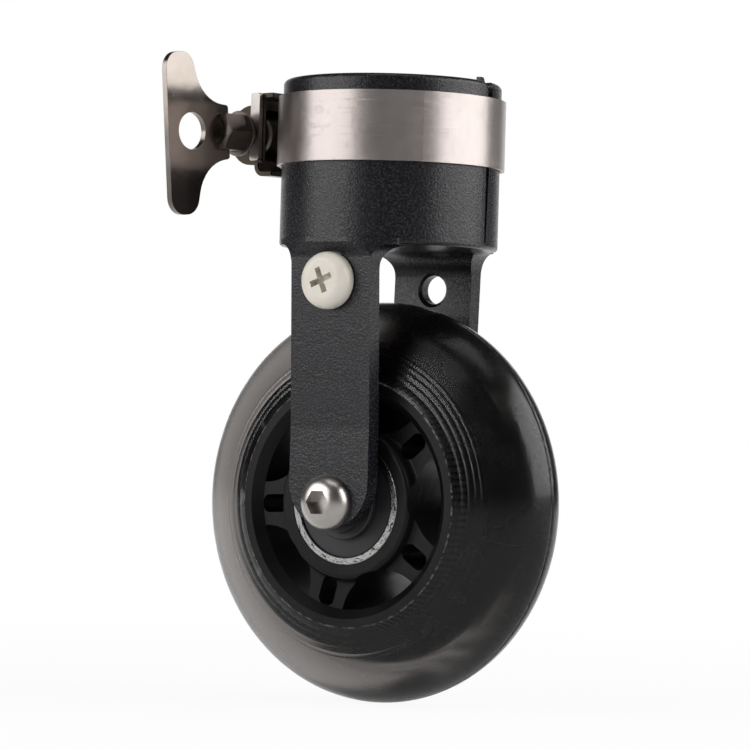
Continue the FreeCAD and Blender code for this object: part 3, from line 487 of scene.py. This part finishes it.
def slab(name, points, start, end, stand):
    """An outline with a thickness from start to end in millimetres. The function stand gives a
    point's place in the clamp."""
    build = bmesh.new()
    faces = []
    for depth in (start, end):
        corners = [build.verts.new(stand(point, depth * MM)) for point in points]
        faces.append(build.faces.new(corners))
    here, there = [list(face.verts) for face in faces]
    for j in range(len(points)):
        k = (j + 1) % len(points)
        build.faces.new((here[j], here[k], there[k], there[j]))
    return piece_from(build, name)


def keep_result(piece):
    """The mesh that the piece's modifiers make becomes its own."""
    depsgraph = bpy.context.evaluated_depsgraph_get()
    mesh = bpy.data.meshes.new_from_object(piece.evaluated_get(depsgraph))
    piece.modifiers.clear()
    piece.data = mesh


def combine(piece, other, operation):
    """Joins another piece to this one, cuts it out, or keeps what both share."""
    step = piece.modifiers.new("combine", "BOOLEAN")
    step.operation = operation
    step.solver = "EXACT"
    step.object = other
    keep_result(piece)
    bpy.data.objects.remove(other)


def soften(piece, width):
    """Double points become one, and every sharp edge gets a small round."""
    build = bmesh.new()
    build.from_mesh(piece.data)
    bmesh.ops.remove_doubles(build, verts=build.verts, dist=SAME_POINT)
    build.to_mesh(piece.data)
    build.free()
    step = piece.modifiers.new("edges", "BEVEL")
    step.width = width
    step.segments = BEVEL_STEPS
    step.limit_method = "ANGLE"
    step.angle_limit = BEVEL_ANGLE
    step.harden_normals = True
    piece.data.shade_smooth()
    keep_result(piece)


def finish_piece(piece, material, body, node):
    give_finish(piece, material)
    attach(piece, body)
    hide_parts(node)


# Tyre. Its outline is drawn from the wheel's middle plane: a sloping side with grooves, a light
# round at the side's edge, a straight flank and a round tread with a parting line

TYRE_SEGMENTS = 240
TYRE_SHARP = math.radians(28)
SIDE_HALF = 10.95 * MM
EDGE_RADIUS = 27.3 * MM
EDGE_START = 0.20 * MM
EDGE_CUT = 0.02 * MM
EDGE_END = 0.12 * MM
EDGE_DROP = 0.22 * MM
FLANK_ANGLE = math.radians(27.7)
TREAD_ROUND = 7.6 * MM
TREAD_STEPS = 24
PARTING_DROP = 0.06 * MM
PARTING_HALF = 0.12 * MM
GROOVE_RADII = (23.4, 24.5, 25.6, 26.6)
GROOVE_DEPTH = 0.05 * MM
GROOVE_HALF = 0.10 * MM

# The hub's flange inside it, with the holes that its plugs fill

FLANGE_RADIUS = 26.2 * MM
FLANGE_HALF = 5.5 * MM
BOND = 0.12 * MM
HOLE_CIRCLE = 24.35 * MM
HOLE_RADIUS = 1.6 * MM
HOLE_COUNT = 12
PLUG_SIDES = 24
PLUG_REACH = 0.3 * MM


def tyre_outline():
    round_centre = wheel_radius - TREAD_ROUND
    apex = round_centre + TREAD_ROUND / math.sin(FLANK_ANGLE)
    edge_half = (apex - EDGE_RADIUS) * math.tan(FLANK_ANGLE)
    slope = (SIDE_HALF - edge_half) / (EDGE_RADIUS - RIM_RADIUS)
    upper = [(RIM_RADIUS - BOND, SIDE_HALF + slope * BOND)]
    for radius in GROOVE_RADII:
        reach = radius * MM
        along = SIDE_HALF - slope * (reach - RIM_RADIUS)
        upper += [
            (reach - GROOVE_HALF, along + slope * GROOVE_HALF),
            (reach, along - GROOVE_DEPTH),
            (reach + GROOVE_HALF, along - slope * GROOVE_HALF),
        ]
    upper += [
        (EDGE_RADIUS - EDGE_START, edge_half + slope * EDGE_START),
        (EDGE_RADIUS - EDGE_CUT, edge_half - EDGE_CUT),
        (EDGE_RADIUS + EDGE_END, edge_half - EDGE_DROP),
    ]
    for i in range(TREAD_STEPS):
        angle = (math.pi / 2 - FLANK_ANGLE) * (1 - i / TREAD_STEPS)
        reach = round_centre + TREAD_ROUND * math.cos(angle)
        upper.append((reach, TREAD_ROUND * math.sin(angle)))
    parting = [
        (wheel_radius - PARTING_DROP, PARTING_HALF),
        (wheel_radius, 0.0),
        (wheel_radius - PARTING_DROP, -PARTING_HALF),
    ]
    lower = [(reach, -along) for reach, along in reversed(upper)]
    inner = [
        (RIM_RADIUS - BOND, -(FLANGE_HALF - BOND)),
        (FLANGE_RADIUS - BOND, -(FLANGE_HALF - BOND)),
        (FLANGE_RADIUS - BOND, FLANGE_HALF - BOND),
        (RIM_RADIUS - BOND, FLANGE_HALF - BOND),
    ]
    return upper + parting + lower + inner


def plug_tree():
    """Plugs of the size of the flange's holes, evenly placed on a circle round the axle."""
    tree = bpy.data.node_groups.new("flange_plugs", "GeometryNodeTree")
    tree.interface.new_socket("Geometry", in_out="OUTPUT", socket_type="NodeSocketGeometry")
    sockets = {}
    for name, kind in (
        ("Count", "NodeSocketInt"),
        ("Circle radius", "NodeSocketFloat"),
        ("Plug radius", "NodeSocketFloat"),
        ("Length", "NodeSocketFloat"),
        ("Axle height", "NodeSocketFloat"),
        ("Material", "NodeSocketMaterial"),
    ):
        socket = tree.interface.new_socket(name, in_out="INPUT", socket_type=kind)
        sockets[name] = socket.identifier
    plugs = NodeTree(tree)
    given = plugs.node("NodeGroupInput").outputs
    circle = plugs.node("GeometryNodeMeshCircle", {
        "Vertices": given["Count"],
        "Radius": given["Circle radius"],
    })
    plug = plugs.node("GeometryNodeMeshCylinder", {
        "Vertices": PLUG_SIDES,
        "Radius": given["Plug radius"],
        "Depth": given["Length"],
    })
    placed = plugs.node("GeometryNodeInstanceOnPoints", {
        "Points": circle.outputs[0],
        "Instance": plug.outputs[0],
    })
    lift = plugs.node("ShaderNodeCombineXYZ", {"Z": given["Axle height"]})
    stood = plugs.node("GeometryNodeTransform", {
        "Geometry": placed.outputs[0],
        "Translation": lift.outputs[0],
        "Rotation": (math.pi / 2, 0, 0),
    })
    real = plugs.node("GeometryNodeRealizeInstances", {0: stood.outputs[0]})
    clad = plugs.node("GeometryNodeSetMaterial", {
        "Geometry": real.outputs[0],
        "Material": given["Material"],
    })
    plugs.node("NodeGroupOutput", {"Geometry": clad.outputs[0]})
    return tree, sockets


def make_tyre():
    """The clear tyre. Its inside reaches a little into the flange, as the real one is bonded."""
    urethane = smoky_urethane()
    ring = turned("tyre", tyre_outline(), TYRE_SEGMENTS, z=axle_height)
    give_finish(ring, urethane)
    plugs = piece_from(bmesh.new(), "plug_cores")
    tree, sockets = plug_tree()
    step = plugs.modifiers.new("plugs", "NODES")
    step.node_group = tree
    step[sockets["Count"]] = HOLE_COUNT
    step[sockets["Circle radius"]] = HOLE_CIRCLE
    step[sockets["Plug radius"]] = HOLE_RADIUS + BOND / 3
    step[sockets["Length"]] = 2 * (FLANGE_HALF + PLUG_REACH)
    step[sockets["Axle height"]] = axle_height
    step[sockets["Material"]] = urethane
    keep_result(plugs)
    combine(ring, plugs, "UNION")
    ring.data.shade_smooth()
    ring.data.set_sharp_from_angle(angle=TYRE_SHARP)
    finish_piece(ring, urethane, "wheel", "wheel_tyre")


# Clamp: drawn with the housing towards -X and the key towards -Y, then turned on the cup. All
# its sizes are in millimetres, and its depths are counted from the worm's middle towards the key

CLAMP_PLACE = Matrix.Translation((0, 0, band_height)) @ Matrix.Rotation(-CLAMP_TURN, 4, "Z")
WORM_AXIS = 24.8

# Housing: feet on the band and a box over the worm. A top is a distance from the cup's axis, a
# half is half a height, a round is the radius of a fold. End walls and plate begin at WALL_FOOT

SHEET = 0.8
BAND_FACE = 19.85
FOOT_TOP, FOOT_HALF, FOOT_ROUND = 24.0, 7.5, 2.0
BOX_TOP, BOX_HALF, BOX_ROUND = 30.2, 5.4, 5.1
WALL_FOOT = 22.2
PLATE_TOP, PLATE_LOW, PLATE_ROUND = 24.4, -4.7, 0.5
PLATE_START, PLATE_END = 9.5, 11.1
NECK_HOLE, NECK_SIDES = 2.2, 32
HOUSING_SOFT = 0.12 * MM

# Screw. The crown's points are a reach and a depth below the head's end: chamfer, rim, dish

TIP_RADIUS, TIP_END, TIP_CHAMFER = 2.0, 10.6, 0.3
WORM_RADIUS, WORM_HALF, WORM_CHAMFER = 3.7, 9.1, 0.4
NECK_RADIUS = 2.1
DISC_RADIUS, DISC_START, DISC_CHAMFER = 4.1, 13.4, 0.1
HEX_HALF = 3.2
HEAD_START, HEAD_END, HEAD_ROOT = 13.9, 19.2, 0.2
HEAD_CROWN = ((4.2, 0.8), (3.05, 0.0), (2.35, 0.0), (2.15, 0.3), (1.2, 1.2), (0, 1.2))
KEY_SEAT = 16.3
SLOT_END, SLOT_HALF, SLOT_ROOM = 20.3, 4.5, 0.03
SCREW_SOFT = 0.08 * MM

# Key: a reach is counted from the foot of its slot, a half is half a height

KEY_THICKNESS = 1.15
KEY_COCK = math.radians(5.5)
KEY_REACH = 15.0
KEY_ROOT, ROOT_ROUND = 4.8, 0.6
KEY_WAIST, WAIST_ROUND, WAIST_STEP = 5.6, 7.5, 2.2
KEY_HALF, LOBE_WIDTH, LOBE_ROUND = 14.45, 6.3, 3.1
KEY_HOLE, HOLE_INSET, HOLE_LIFT = 3.3, 5.8, 0.35
HOLE_SIDES = 48
KEY_SOFT = 0.13 * MM


def across(point, depth):
    """Outline in X and Z, with its thickness towards -Y."""
    return CLAMP_PLACE @ Vector((point[0], -depth, point[1]))


def upright(point, depth):
    """Outline in Y and Z, with its thickness along X about the screw's axis."""
    return CLAMP_PLACE @ Vector((depth - WORM_AXIS * MM, point[0], point[1]))


def on_screw(name, outline, segments=64):
    """An outline of (reach, depth) points turned round the screw's axis."""
    points = [(reach * MM, -depth * MM) for reach, depth in outline]
    piece = turned(name, points, segments, x=-WORM_AXIS * MM, closed=False)
    piece.data.transform(CLAMP_PLACE)
    return piece


def fold(inset):
    """One face of the folded sheet, from foot to foot, at a depth below its outside."""
    foot_top, foot_half, foot_round = FOOT_TOP - inset, FOOT_HALF - inset, FOOT_ROUND - inset
    box_top, box_half, box_round = BOX_TOP - inset, BOX_HALF - inset, BOX_ROUND - inset
    return [
        (-BAND_FACE, -foot_half),
        (-foot_top, -foot_half, foot_round),
        (-foot_top, -box_half),
        (-box_top, -box_half, box_round),
        (-box_top, box_half, box_round),
        (-foot_top, box_half),
        (-foot_top, foot_half, foot_round),
        (-BAND_FACE, foot_half),
    ]


def make_housing():
    """Folded sheet over the worm, closed at both ends, with a plate across the key's end."""
    outline = fold(0) + fold(SHEET)[::-1]
    sheet = slab("folded_housing", rounded(outline), -HOUSING_HALF, HOUSING_HALF, across)
    top, half, bend = BOX_TOP - SHEET / 2, BOX_HALF - SHEET / 2, BOX_ROUND - SHEET / 2
    wall = [(-WALL_FOOT, -half), (-top, -half, bend), (-top, half, bend), (-WALL_FOOT, half)]
    for start in (-HOUSING_HALF, HOUSING_HALF - SHEET):
        combine(sheet, slab("end_wall", rounded(wall), start, start + SHEET, across), "UNION")
    plate = rounded([
        (-WALL_FOOT, PLATE_LOW, PLATE_ROUND),
        (-PLATE_TOP, PLATE_LOW, PLATE_ROUND),
        (-PLATE_TOP, FOOT_HALF, PLATE_ROUND),
        (-WALL_FOOT, FOOT_HALF, PLATE_ROUND),
    ])
    combine(sheet, slab("end_plate", plate, PLATE_START, PLATE_END, across), "UNION")
    end = PLATE_END + SHEET
    neck = [(0, end), (NECK_HOLE, end), (NECK_HOLE, -end), (0, -end)]
    combine(sheet, on_screw("neck_hole", neck, NECK_SIDES), "DIFFERENCE")
    soften(sheet, HOUSING_SOFT)
    finish_piece(sheet, FINISHES["clamp_housing"], "bracket", "clamp_housing")


def make_screw():
    """Tip, worm, neck and disc in one turned piece, with a slotted and dished hexagon head."""
    screw = on_screw("turned_screw", [
        (0, -TIP_END),
        (TIP_RADIUS - TIP_CHAMFER, -TIP_END),
        (TIP_RADIUS, TIP_CHAMFER - TIP_END),
        (TIP_RADIUS, -WORM_HALF),
        (WORM_RADIUS - WORM_CHAMFER, -WORM_HALF),
        (WORM_RADIUS, WORM_CHAMFER - WORM_HALF),
        (WORM_RADIUS, WORM_HALF - WORM_CHAMFER),
        (WORM_RADIUS - WORM_CHAMFER, WORM_HALF),
        (NECK_RADIUS, WORM_HALF),
        (NECK_RADIUS, DISC_START),
        (DISC_RADIUS - DISC_CHAMFER, DISC_START),
        (DISC_RADIUS, DISC_START + DISC_CHAMFER),
        (DISC_RADIUS, HEAD_START - DISC_CHAMFER),
        (DISC_RADIUS - DISC_CHAMFER, HEAD_START),
        (0, HEAD_START),
    ])
    hexagon = rounded(regular((-WORM_AXIS, 0), HEX_HALF / math.cos(math.radians(30)), 6))
    head = slab("hexagon", hexagon, HEAD_START - HEAD_ROOT, HEAD_END, across)
    trim = [(0, DISC_START), (HEAD_CROWN[0][0], DISC_START)]
    trim += [(reach, HEAD_END - drop) for reach, drop in HEAD_CROWN]
    combine(head, on_screw("head_trim", trim), "INTERSECT")
    slot = rounded([
        (-SLOT_END, -SLOT_HALF),
        (-SLOT_END, SLOT_HALF),
        (-KEY_SEAT, SLOT_HALF),
        (-KEY_SEAT, -SLOT_HALF),
    ])
    slot_half = KEY_THICKNESS / 2 + SLOT_ROOM
    combine(head, slab("key_slot", slot, -slot_half, slot_half, upright), "DIFFERENCE")
    combine(screw, head, "UNION")
    soften(screw, SCREW_SOFT)
    finish_piece(screw, FINISHES["clamp_screw"], "clamp_drive", "clamp_screw")


def cocked(reach, height, *radius):
    """Place on the key, a little cocked in its slot, from its reach and its height."""
    sine, cosine = math.sin(KEY_COCK), math.cos(KEY_COCK)
    out = KEY_SEAT + SLOT_ROOM + HEX_HALF * sine + reach * cosine + height * sine
    return (-out, height * cosine - reach * sine, *radius)


def make_key():
    """Flat plate with two lobes and a round hole."""
    lobe_start = KEY_REACH - LOBE_WIDTH
    half = [
        (0, KEY_ROOT, ROOT_ROUND),
        (lobe_start - WAIST_STEP, KEY_WAIST, WAIST_ROUND),
        (lobe_start, KEY_HALF, LOBE_ROUND),
        (KEY_REACH, KEY_HALF, LOBE_ROUND),
    ]
    outline = [cocked(reach, -height, radius) for reach, height, radius in half]
    outline += [cocked(reach, height, radius) for reach, height, radius in reversed(half)]
    plate_half = KEY_THICKNESS / 2
    key = slab("key_plate", rounded(outline), -plate_half, plate_half, upright)
    hole = rounded(regular(cocked(KEY_REACH - HOLE_INSET, HOLE_LIFT), KEY_HOLE, HOLE_SIDES))
    combine(key, slab("key_hole", hole, -KEY_THICKNESS, KEY_THICKNESS, upright), "DIFFERENCE")
    soften(key, KEY_SOFT)
    finish_piece(key, FINISHES["wing_key"], "clamp_drive", "wing_key")


make_tyre()
make_housing()
make_screw()
make_key()


# Camera, at the place that the photograph's perspective gives

CAMERA_AZIMUTH = math.radians(33.876)
CAMERA_ELEVATION = math.radians(-0.862)
CAMERA_ROLL = math.radians(1.638)
CAMERA_DISTANCE = 607.54 * MM
CAMERA_AIM = Vector((-1.435, -0.963, -25.43)) * MM
CAMERA_LENS = 164.03
SENSOR_WIDTH = 36.0


def direction_at(azimuth, elevation):
    """Unit vector from the object towards that azimuth, counted from -Y towards +X."""
    level = math.cos(elevation)
    return Vector((math.sin(azimuth) * level, -math.cos(azimuth) * level, math.sin(elevation)))


def make_camera():
    back = direction_at(CAMERA_AZIMUTH, CAMERA_ELEVATION)
    level = Vector((math.cos(CAMERA_AZIMUTH), math.sin(CAMERA_AZIMUTH), 0))
    above = back.cross(level)
    right = math.cos(CAMERA_ROLL) * level + math.sin(CAMERA_ROLL) * above
    up = math.cos(CAMERA_ROLL) * above - math.sin(CAMERA_ROLL) * level
    data = bpy.data.cameras.new("camera")
    data.lens = CAMERA_LENS
    data.sensor_width = SENSOR_WIDTH
    camera = bpy.data.objects.new("camera", data)
    bpy.context.scene.collection.objects.link(camera)
    place = Matrix((right, up, back)).transposed().to_4x4()
    place.translation = CAMERA_AIM + back * CAMERA_DISTANCE
    camera.matrix_world = place
    bpy.context.scene.camera = camera


# Studio: white behind the object and dim in front of it, a pale floor, and soft boxes to both
# sides and overhead

AWAY = -direction_at(CAMERA_AZIMUTH, 0)
AMBIENT = 0.30
DIM_STUDIO = 0.045
BACKDROP_LIGHT = 0.95
BACKDROP_START, BACKDROP_FULL = 0.78, 0.97
DIM_FLOOR = 0.55
BRIGHT_START, BRIGHT_FULL = -0.2, 0.7
FLOOR_GREY = (0.82, 0.82, 0.83, 1)
FLOOR_SIZE, FLOOR_SIDES = 2.5, 96
FLOOR_GAP = 0.05 * MM
WHITE_START, WHITE_FULL = 0.03, 0.30
NEAR_WHITE = 0.92

# Each soft box's angles to the side and up, its distance, width and height, and its watts

LAMPS = {
    "left_box": (-66, 22, 0.70, 0.70, 0.52, 3.35),
    "right_box": (80, 26, 0.70, 0.82, 0.60, 5.0),
    "top_box": (0, 80, 0.60, 0.40, 0.30, 0.4),
}


def make_lamp(name, side_angle, height_angle, distance, width, height, watts):
    """A soft box, placed by its angles from the camera's direction as the object sees it."""
    data = bpy.data.lights.new(name, "AREA")
    data.shape = "RECTANGLE"
    data.size = width
    data.size_y = height
    data.energy = watts
    lamp = bpy.data.objects.new(name, data)
    bpy.context.scene.collection.objects.link(lamp)
    azimuth = CAMERA_AZIMUTH + math.radians(side_angle)
    toward = direction_at(azimuth, math.radians(height_angle))
    lamp.location = CAMERA_AIM + toward * distance
    lamp.rotation_mode = "QUATERNION"
    lamp.rotation_quaternion = toward.to_track_quat("Z", "Y")


def make_world():
    """White where the camera looks past the object, and in what shines or is clear on that far
    side. The studio in front of the object is dim, and an even soft light reaches the object."""
    world = bpy.data.worlds.new("studio")
    bpy.context.scene.world = world
    world.use_nodes = True
    studio = NodeTree(world.node_tree)
    path = studio.node("ShaderNodeLightPath").outputs
    seen = studio.calculate("MAXIMUM", path["Is Camera Ray"], path["Is Transmission Ray"])
    behind = studio.facing(studio.node("ShaderNodeTexCoord").outputs["Generated"], AWAY)
    edge = (BACKDROP_START, BACKDROP_FULL)
    backdrop = studio.spread(behind, *edge, DIM_STUDIO, BACKDROP_LIGHT, smooth=True)
    shine = studio.blend(path["Is Glossy Ray"], AMBIENT, backdrop)
    background = studio.tree.nodes["Background"].inputs
    background["Color"].default_value = (1, 1, 1, 1)
    studio.tree.links.new(studio.blend(seen, shine, 1.0), background["Strength"])


def make_floor():
    """A pale floor under the tyre. It turns white away from the object and keeps its shadow, and
    its glow in what shines is dim in front of the object."""
    build = bmesh.new()
    bmesh.ops.create_circle(build, cap_ends=True, segments=FLOOR_SIDES, radius=FLOOR_SIZE)
    floor = piece_from(build, "floor")
    floor.location.z = tyre_low.z - FLOOR_GAP
    finish = Finish("pale_floor", Roughness=0.9, Specular_IOR_Level=0.1, Base_Color=FLOOR_GREY)
    length = finish.node("ShaderNodeVectorMath", {0: finish.place}, operation="LENGTH")
    reach = length.outputs["Value"]
    white = finish.spread(reach, WHITE_START, WHITE_FULL, NEAR_WHITE, 1.0, smooth=True)
    path = finish.node("ShaderNodeLightPath").outputs
    seen = finish.calculate("MAXIMUM", path["Is Camera Ray"], path["Is Transmission Ray"])
    seen = finish.calculate("MAXIMUM", seen, path["Is Glossy Ray"])
    share = finish.calculate("MULTIPLY", white, seen)
    outward = finish.node("ShaderNodeVectorMath", {0: finish.place}, operation="NORMALIZE")
    behind = finish.facing(outward.outputs[0], AWAY)
    bright = finish.spread(behind, BRIGHT_START, BRIGHT_FULL, DIM_FLOOR, 1.0, smooth=True)
    strength = finish.blend(path["Is Glossy Ray"], 1.0, bright)
    glow = finish.node("ShaderNodeEmission", {"Strength": strength})
    parts = {0: share, 1: finish.shader.outputs[0], 2: glow.outputs[0]}
    both = finish.node("ShaderNodeMixShader", parts).outputs[0]
    finish.tree.links.new(both, finish.tree.nodes["Material Output"].inputs["Surface"])
    give_finish(floor, finish.material)


make_camera()
make_world()
make_floor()
for name, values in LAMPS.items():
    make_lamp(name, *values)

scene = bpy.context.scene
scene.view_settings.view_transform = "Standard"
